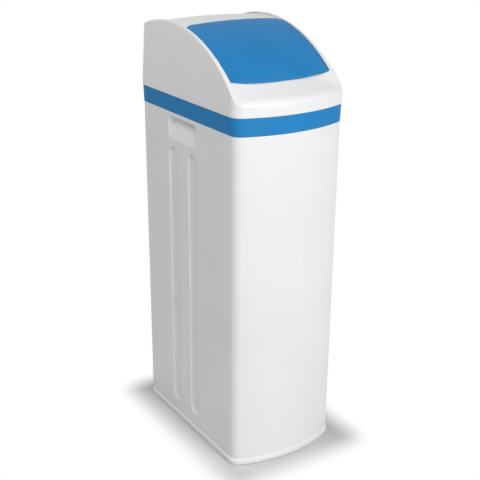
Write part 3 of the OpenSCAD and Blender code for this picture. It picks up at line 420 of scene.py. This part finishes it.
def inNotch(face):
    centre = face.calc_center_median()
    top = max(v.co.z for v in face.verts)
    return (centre.y > rearCy * mm and abs(centre.x) < cabinetForm["notchHalf"] * mm
            and top < (coverForm["notchTop"] + coverForm["notchSlack"]) * mm)


coverRearXs = spread(0, cabinetForm["notchHalf"], 10) + spread(cabinetForm["notchHalf"], rearCx, 4)
coverBow = spread(bowStart, bowStop, 56) + [bowStop]
coverStations = walkOutline(coverRearXs, spread(rearCy, frontCy, 64), 9, coverBow)
coverMesh = loftPiece(coverStations, coverRowCount, placeCover)
bmesh.ops.delete(coverMesh, geom=[f for f in coverMesh.faces if inNotch(f)], context="FACES")
rimLoops = [e for e in coverMesh.edges if e.is_boundary]
bmesh.ops.bridge_loops(coverMesh, edges=rimLoops)  # the open foot and the notch get their rim
bmesh.ops.recalc_face_normals(coverMesh, faces=coverMesh.faces)

# cover: deck with the filling mouth

deckForm = {
    "half": 145.3, "mouthHalf": 132.0, "rearAngle": -20.2, "mouthRear": 15.0, "mouthFront": 40.0,
    "frontAngle": 46.0, "corner": 22.3, "lap": 0.3,
}
deckEdgeXs = [deckForm["mouthHalf"], 140, 144, deckForm["half"]]
deckXs = [-x for x in reversed(deckEdgeXs[1:])]
deckXs += spread(-deckForm["mouthHalf"], deckForm["mouthHalf"], 36) + deckEdgeXs
deckAngles = spread(deckForm["rearAngle"], deckForm["mouthRear"], 30)
deckAngles += spread(deckForm["mouthRear"], deckForm["mouthFront"], 24)
deckAngles += spread(deckForm["mouthFront"], deckForm["frontAngle"], 6) + [deckForm["frontAngle"]]


def inMouth(column, row):
    across = -deckForm["mouthHalf"] <= deckXs[column] < deckForm["mouthHalf"]
    return across and deckForm["mouthRear"] <= deckAngles[row] < deckForm["mouthFront"]


def placeDeck(column, row):
    x, corner = deckXs[column], deckForm["corner"]
    r = crownR(x, coverForm["deckR"])
    y = coverForm["railY"] - r * math.sin(math.radians(deckAngles[row]))
    over = min(corner, max(0.0, abs(x) - deckForm["half"] + corner))
    rear = coverRear + deckForm["lap"] - corner + math.sqrt(corner ** 2 - over ** 2)
    y = min(max(y, frontArc(x, coverForm["seam"] + deckForm["lap"])), rear)
    return (x, y, railArc(y, r))


deckMesh = gridPiece(len(deckXs), len(deckAngles), placeDeck, inMouth)
faceUp(deckMesh)
bmesh.ops.solidify(deckMesh, geom=deckMesh.faces, thickness=coverForm["deckThick"] * mm)
deckScratch = bpy.data.meshes.new("deckScratch")
deckMesh.to_mesh(deckScratch)
deckMesh.free()
coverMesh.from_mesh(deckScratch)
bpy.data.meshes.remove(deckScratch)
topCover = finishMesh(coverMesh, "topCover", 42, recalc=False)
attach(topCover, "cover")
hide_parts("top_cover")
print("stage: cover")

# salt lid

lidForm = {
    "rearAngle": 8.5, "cornerR": 28.0, "flatHalf": 134.0, "lipWide": 17.0, "lipHigh": 2.5, "lipRamp": 11.0,
    "lipFade": 26.0, "crease": 0.7, "creaseAway": 1.5, "creaseWide": 3.2, "edgeDrop": 1.6, "edgeWide": 2.4,
    "shell": 2.2,
}
lidEdgeXs = [coverForm["lidHalf"] - inset for inset in (0, 0.3, 1.2, 2.9, 6.4)]
lidXs = [-x for x in lidEdgeXs] + spread(-lidForm["flatHalf"], lidForm["flatHalf"], 60)
lidXs += [lidForm["flatHalf"]] + lidEdgeXs[::-1]
lidTs = [0, 0.002, 0.006, 0.014, 0.03] + spread(0.06, 0.84, 40) + spread(0.84, 1.0, 34) + [1.0]


def lidFrontAngle(x, r):
    return math.degrees(math.asin((coverForm["railY"] - frontArc(x, 0)) / r))


def placeLid(column, row):
    x, t = lidXs[column], lidTs[row]
    form = lidForm
    outer = crownR(x * coverForm["railHalf"] / coverForm["lidHalf"], lidOut)
    side = abs(x) - (coverForm["lidHalf"] - form["cornerR"])
    bend = form["cornerR"] - math.sqrt(max(0.0, form["cornerR"] ** 2 - max(0.0, side) ** 2))
    a0 = form["rearAngle"] + math.degrees(bend / outer)
    a1 = lidFrontAngle(x, outer)
    a = a0 + (a1 - a0) * t
    toFront = math.radians(a1 - a) * outer
    toRear = math.radians(a - a0) * outer
    inset = max(0.0, coverForm["lidHalf"] - abs(x))
    fade = smoothStep(inset / form["lipFade"])
    pastCrease = (toFront - form["lipWide"] - form["creaseAway"]) / form["creaseWide"]
    lift = form["lipHigh"] * smoothStep((form["lipWide"] - toFront) / form["lipRamp"]) * fade
    lift -= form["crease"] * math.exp(-pastCrease ** 2) * fade
    lift -= form["edgeDrop"] * (1 - min(1.0, min(inset, toFront, toRear) / form["edgeWide"])) ** 2
    r = outer + lift
    y = coverForm["railY"] - r * math.sin(math.radians(a))
    return (x, y, coverForm["railZ"] + r * math.cos(math.radians(a)))


lidMesh = gridPiece(len(lidXs), len(lidTs), placeLid)
faceUp(lidMesh)
saltLid = finishMesh(lidMesh, "saltLid", 40, recalc=False)
addWall(saltLid, lidForm["shell"])
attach(saltLid, "lid")
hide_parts("salt_lid")
print("stage: lid")

# finishes


def newGroup(name, inputs, outputs):
    group = bpy.data.node_groups.new(name, "ShaderNodeTree")
    for label, kind, value in inputs:
        socket = group.interface.new_socket(label, in_out="INPUT", socket_type=kind)
        if value is not None:
            socket.default_value = value
    for label, kind in outputs:
        group.interface.new_socket(label, in_out="OUTPUT", socket_type=kind)
    return group, group.nodes.new("NodeGroupInput"), group.nodes.new("NodeGroupOutput")


def buildToneDrift():  # slow change of shade over a moulding
    group, entry, leave = newGroup("toneDrift", [
        ("Vector", "NodeSocketVector", None), ("Scale", "NodeSocketFloat", 4.0),
        ("Light", "NodeSocketColor", None), ("Deep", "NodeSocketColor", None)],
        [("Colour", "NodeSocketColor")])
    links = group.links
    cloud = group.nodes.new("ShaderNodeTexNoise")
    cloud.inputs["Detail"].default_value = 4.0
    ramp = group.nodes.new("ShaderNodeMapRange")
    ramp.inputs["From Min"].default_value = 0.35
    ramp.inputs["From Max"].default_value = 0.65
    mix = group.nodes.new("ShaderNodeMix")
    mix.data_type = "RGBA"
    links.new(entry.outputs["Vector"], cloud.inputs["Vector"])
    links.new(entry.outputs["Scale"], cloud.inputs["Scale"])
    links.new(cloud.outputs["Fac"], ramp.inputs["Value"])
    links.new(ramp.outputs["Result"], mix.inputs[0])
    links.new(entry.outputs["Light"], mix.inputs[6])
    links.new(entry.outputs["Deep"], mix.inputs[7])
    links.new(mix.outputs[2], leave.inputs["Colour"])
    return group


def buildMouldGrain():  # fine orange peel with slow waviness
    group, entry, leave = newGroup("mouldGrain", [
        ("Vector", "NodeSocketVector", None), ("Grain Scale", "NodeSocketFloat", 900.0),
        ("Grain", "NodeSocketFloat", 0.1), ("Wave Scale", "NodeSocketFloat", 7.0),
        ("Wave", "NodeSocketFloat", 0.1)],
        [("Normal", "NodeSocketVector"), ("Roughness", "NodeSocketFloat")])
    links = group.links
    grain = group.nodes.new("ShaderNodeTexNoise")
    grain.inputs["Detail"].default_value = 2.0
    wave = group.nodes.new("ShaderNodeTexNoise")
    wave.inputs["Detail"].default_value = 1.0
    low = group.nodes.new("ShaderNodeBump")
    low.inputs["Distance"].default_value = 0.004
    high = group.nodes.new("ShaderNodeBump")
    high.inputs["Distance"].default_value = 0.0004
    rough = group.nodes.new("ShaderNodeMapRange")
    rough.inputs["To Min"].default_value = -0.05
    rough.inputs["To Max"].default_value = 0.05
    links.new(entry.outputs["Vector"], grain.inputs["Vector"])
    links.new(entry.outputs["Grain Scale"], grain.inputs["Scale"])
    links.new(entry.outputs["Vector"], wave.inputs["Vector"])
    links.new(entry.outputs["Wave Scale"], wave.inputs["Scale"])
    links.new(wave.outputs["Fac"], low.inputs["Height"])
    links.new(entry.outputs["Wave"], low.inputs["Strength"])
    links.new(grain.outputs["Fac"], high.inputs["Height"])
    links.new(entry.outputs["Grain"], high.inputs["Strength"])
    links.new(low.outputs["Normal"], high.inputs["Normal"])
    links.new(high.outputs["Normal"], leave.inputs["Normal"])
    links.new(grain.outputs["Fac"], rough.inputs["Value"])
    links.new(rough.outputs["Result"], leave.inputs["Roughness"])
    return group


toneDrift = buildToneDrift()
mouldGrain = buildMouldGrain()


def plasticFinish(name, light, deep, rough, toneScale=5.0, grainScale=900.0, grain=0.1, waveScale=7.0,
                  wave=0.1, metallic=0.0, specular=0.5, coat=0.0, subsurface=0.0, transmission=0.0,
                  stretch=None):
    material = bpy.data.materials.new(name)
    material.use_nodes = True
    nodes, links = material.node_tree.nodes, material.node_tree.links
    shader = nodes["Principled BSDF"]
    shader.inputs["Metallic"].default_value = metallic
    shader.inputs["Specular IOR Level"].default_value = specular
    shader.inputs["Coat Weight"].default_value = coat
    shader.inputs["Subsurface Weight"].default_value = subsurface
    shader.inputs["Subsurface Scale"].default_value = 0.004
    shader.inputs["Transmission Weight"].default_value = transmission
    place = nodes.new("ShaderNodeTexCoord")
    tone = nodes.new("ShaderNodeGroup")
    tone.node_tree = toneDrift
    tone.inputs["Scale"].default_value = toneScale
    tone.inputs["Light"].default_value = (*light, 1)
    tone.inputs["Deep"].default_value = (*deep, 1)
    peel = nodes.new("ShaderNodeGroup")
    peel.node_tree = mouldGrain
    peel.inputs["Grain Scale"].default_value = grainScale
    peel.inputs["Grain"].default_value = grain
    peel.inputs["Wave Scale"].default_value = waveScale
    peel.inputs["Wave"].default_value = wave
    source = place.outputs["Object"]
    if stretch:
        mapping = nodes.new("ShaderNodeMapping")
        mapping.inputs["Scale"].default_value = stretch
        links.new(source, mapping.inputs["Vector"])
        source = mapping.outputs["Vector"]
    links.new(source, tone.inputs["Vector"])
    links.new(source, peel.inputs["Vector"])
    links.new(tone.outputs["Colour"], shader.inputs["Base Color"])
    links.new(peel.outputs["Normal"], shader.inputs["Normal"])
    add = nodes.new("ShaderNodeMath")
    add.operation = "ADD"
    add.inputs[1].default_value = rough
    links.new(peel.outputs["Roughness"], add.inputs[0])
    links.new(add.outputs[0], shader.inputs["Roughness"])
    return material


finishes = {
    "cabinet_white": plasticFinish("satinWhite", (0.87, 0.87, 0.88), (0.84, 0.845, 0.855), 0.42,
                                   grain=0.08, wave=0.12),
    "trim_blue": plasticFinish("satinBlue", (0.021, 0.235, 0.545), (0.018, 0.218, 0.515), 0.5,
                               grain=0.08, wave=0.08, specular=0.16),
    "vessel_shell": plasticFinish("woundVessel", (0.03, 0.085, 0.17), (0.02, 0.06, 0.13), 0.35,
                                  toneScale=60.0, grainScale=260.0, grain=0.3, wave=0.2, stretch=(1, 1, 3)),
    "black_plastic": plasticFinish("blackMoulding", (0.018, 0.018, 0.02), (0.012, 0.012, 0.014), 0.45,
                                   grain=0.15),
    "resin": plasticFinish("amberBeads", (0.42, 0.17, 0.03), (0.2, 0.07, 0.01), 0.4,
                           toneScale=900.0, grainScale=1200.0, grain=0.6),
    "grey_plastic": plasticFinish("greyMoulding", (0.34, 0.35, 0.37), (0.29, 0.3, 0.32), 0.45, grain=0.12),
    "pale_plastic": plasticFinish("paleMoulding", (0.72, 0.73, 0.74), (0.66, 0.67, 0.68), 0.42, grain=0.1),
    "rubber": plasticFinish("softRubber", (0.012, 0.012, 0.013), (0.008, 0.008, 0.009), 0.7, grain=0.2),
    "steel": plasticFinish("brushedSteel", (0.6, 0.61, 0.63), (0.5, 0.51, 0.53), 0.28,
                           metallic=1.0, grain=0.1, stretch=(1, 0.1, 1)),
    "gear_nylon": plasticFinish("naturalNylon", (0.74, 0.71, 0.6), (0.68, 0.65, 0.54), 0.4,
                                grain=0.08, subsurface=0.1),
    "housing_dark": plasticFinish("darkHousing", (0.035, 0.037, 0.042), (0.028, 0.03, 0.034), 0.5, grain=0.2),
    "window": plasticFinish("displayGlass", (0.02, 0.03, 0.026), (0.014, 0.022, 0.02), 0.08,
                            grain=0.0, coat=0.5),
    "board": plasticFinish("circuitGreen", (0.012, 0.11, 0.03), (0.006, 0.06, 0.018), 0.4,
                           toneScale=180.0, grain=0.3),
    "handle_red": plasticFinish("signalRed", (0.46, 0.018, 0.016), (0.4, 0.014, 0.012), 0.34, grain=0.08),
    "float_orange": plasticFinish("floatOrange", (0.75, 0.25, 0.02), (0.68, 0.21, 0.015), 0.45, grain=0.15),
    "tube_clear": plasticFinish("milkyTube", (0.8, 0.82, 0.84), (0.74, 0.76, 0.79), 0.22,
                                grain=0.02, transmission=0.3),
}
for piece, finish in ((cabinetShell, "cabinet_white"), (trimBand, "trim_blue"), (topCover, "cabinet_white"),
                      (saltLid, "trim_blue")):
    piece.data.materials.append(finishes[finish])
slotOf = {row["node"]: row["material_slot"] for row in frame["record"]["subparts"]}
for nodeName, nodeObject in frame["nodes"].items():
    nodeObject.data.materials.clear()
    nodeObject.data.materials.append(finishes[slotOf[nodeName]])
print("stage: finishes")

# floor and background

studio = {"floor": 6.0, "floorDrop": 0.0005, "floorGrey": 0.7, "floorRough": 0.9, "worldLight": 0.2,
          "fadeFrom": 0.0, "fadeTo": 0.1}


def seenDirectly(nodes, links):  # 1 for rays from the camera, a reflection or a clear piece
    path = nodes.new("ShaderNodeLightPath")
    seen = path.outputs["Is Camera Ray"]
    for kind in ("Is Glossy Ray", "Is Transmission Ray"):
        either = nodes.new("ShaderNodeMath")
        either.operation = "MAXIMUM"
        links.new(seen, either.inputs[0])
        links.new(path.outputs[kind], either.inputs[1])
        seen = either.outputs[0]
    return seen


def vectorStep(nodes, links, operation, source):
    step = nodes.new("ShaderNodeVectorMath")
    step.operation = operation
    links.new(source, step.inputs[0])
    return step


def floorFinish():  # keeps the shadow by the foot and fades into the white background
    material = bpy.data.materials.new("studioFloor")
    material.use_nodes = True
    nodes, links = material.node_tree.nodes, material.node_tree.links
    shader = nodes["Principled BSDF"]
    shader.inputs["Base Color"].default_value = (*[studio["floorGrey"]] * 3, 1)
    shader.inputs["Roughness"].default_value = studio["floorRough"]
    place = nodes.new("ShaderNodeTexCoord")
    away = vectorStep(nodes, links, "ABSOLUTE", place.outputs["Object"])
    past = vectorStep(nodes, links, "SUBTRACT", away.outputs[0])
    past.inputs[1].default_value = (cabinetForm["halfWidth"] * mm, cabinetForm["halfDepth"] * mm, 0)
    clear = vectorStep(nodes, links, "MAXIMUM", past.outputs[0])
    reach = vectorStep(nodes, links, "LENGTH", clear.outputs[0])
    fade = nodes.new("ShaderNodeMapRange")
    fade.interpolation_type = "SMOOTHSTEP"
    fade.inputs["From Min"].default_value = studio["fadeFrom"]
    fade.inputs["From Max"].default_value = studio["fadeTo"]
    share = nodes.new("ShaderNodeMath")
    share.operation = "MULTIPLY"
    white = nodes.new("ShaderNodeEmission")
    white.inputs["Strength"].default_value = 1.0
    mix = nodes.new("ShaderNodeMixShader")
    links.new(reach.outputs["Value"], fade.inputs["Value"])
    links.new(seenDirectly(nodes, links), share.inputs[0])
    links.new(fade.outputs["Result"], share.inputs[1])
    links.new(share.outputs[0], mix.inputs["Fac"])
    links.new(shader.outputs[0], mix.inputs[1])
    links.new(white.outputs[0], mix.inputs[2])
    links.new(mix.outputs[0], nodes["Material Output"].inputs["Surface"])
    return material


floorMesh = bmesh.new()
bmesh.ops.create_grid(floorMesh, x_segments=4, y_segments=4, size=studio["floor"])
bmesh.ops.translate(floorMesh, verts=floorMesh.verts, vec=(0, 0, -studio["floorDrop"]))
studioFloor = finishMesh(floorMesh, "studioFloor", 30)
studioFloor.data.materials.append(floorFinish())

world = bpy.data.worlds.new("studio")
bpy.context.scene.world = world
world.use_nodes = True
worldNodes, worldLinks = world.node_tree.nodes, world.node_tree.links
worldNodes.clear()
pick = worldNodes.new("ShaderNodeMixShader")
worldLinks.new(seenDirectly(worldNodes, worldLinks), pick.inputs["Fac"])
for socket, strength in ((1, studio["worldLight"]), (2, 1.0)):  # the light, then the white that is seen
    dome = worldNodes.new("ShaderNodeBackground")
    dome.inputs["Color"].default_value = (1, 1, 1, 1)
    dome.inputs["Strength"].default_value = strength
    worldLinks.new(dome.outputs[0], pick.inputs[socket])
output = worldNodes.new("ShaderNodeOutputWorld")
worldLinks.new(pick.outputs[0], output.inputs["Surface"])

# lamps and camera

lamps = {
    "keyLamp": {"power": 84.0, "wide": 2.8, "high": 1.4, "place": (-0.1, -3.2, 1.95), "aim": (0, -0.1, 0.6)},
    "topLamp": {"power": 24.0, "wide": 1.6, "high": 1.6, "place": (-1.6, 0.5, 2.8), "aim": (-0.1, 0, 0.8)},
}
for lampName, form in lamps.items():
    lamp = bpy.data.lights.new(lampName, "AREA")
    lamp.shape = "RECTANGLE"
    lamp.energy = form["power"]
    lamp.size = form["wide"]
    lamp.size_y = form["high"]
    holder = bpy.data.objects.new(lampName, lamp)
    holder.location = form["place"]
    holder.rotation_euler = (Vector(form["aim"]) - Vector(form["place"])).to_track_quat("-Z", "Y").to_euler()
    bpy.context.scene.collection.objects.link(holder)

view = {"place": (-1.2610, -1.9125, 1.4432), "turn": -33.584, "tilt": 68.647, "roll": 0.489, "lens": 68.2,
        "sensor": 36.0, "shiftX": -0.0062, "shiftY": -0.0062}
camera = bpy.data.cameras.new("photoCamera")
camera.lens = view["lens"]
camera.sensor_width = view["sensor"]
camera.shift_x = view["shiftX"]
camera.shift_y = view["shiftY"]
cameraHolder = bpy.data.objects.new("photoCamera", camera)
cameraHolder.matrix_world = (Matrix.Translation(view["place"])
                             @ Matrix.Rotation(math.radians(view["turn"]), 4, "Z")
                             @ Matrix.Rotation(math.radians(view["tilt"]), 4, "X")
                             @ Matrix.Rotation(math.radians(view["roll"]), 4, "Z"))
bpy.context.scene.collection.objects.link(cameraHolder)
bpy.context.scene.camera = cameraHolder
bpy.context.scene.view_settings.view_transform = "Standard"
print("stage: studio")
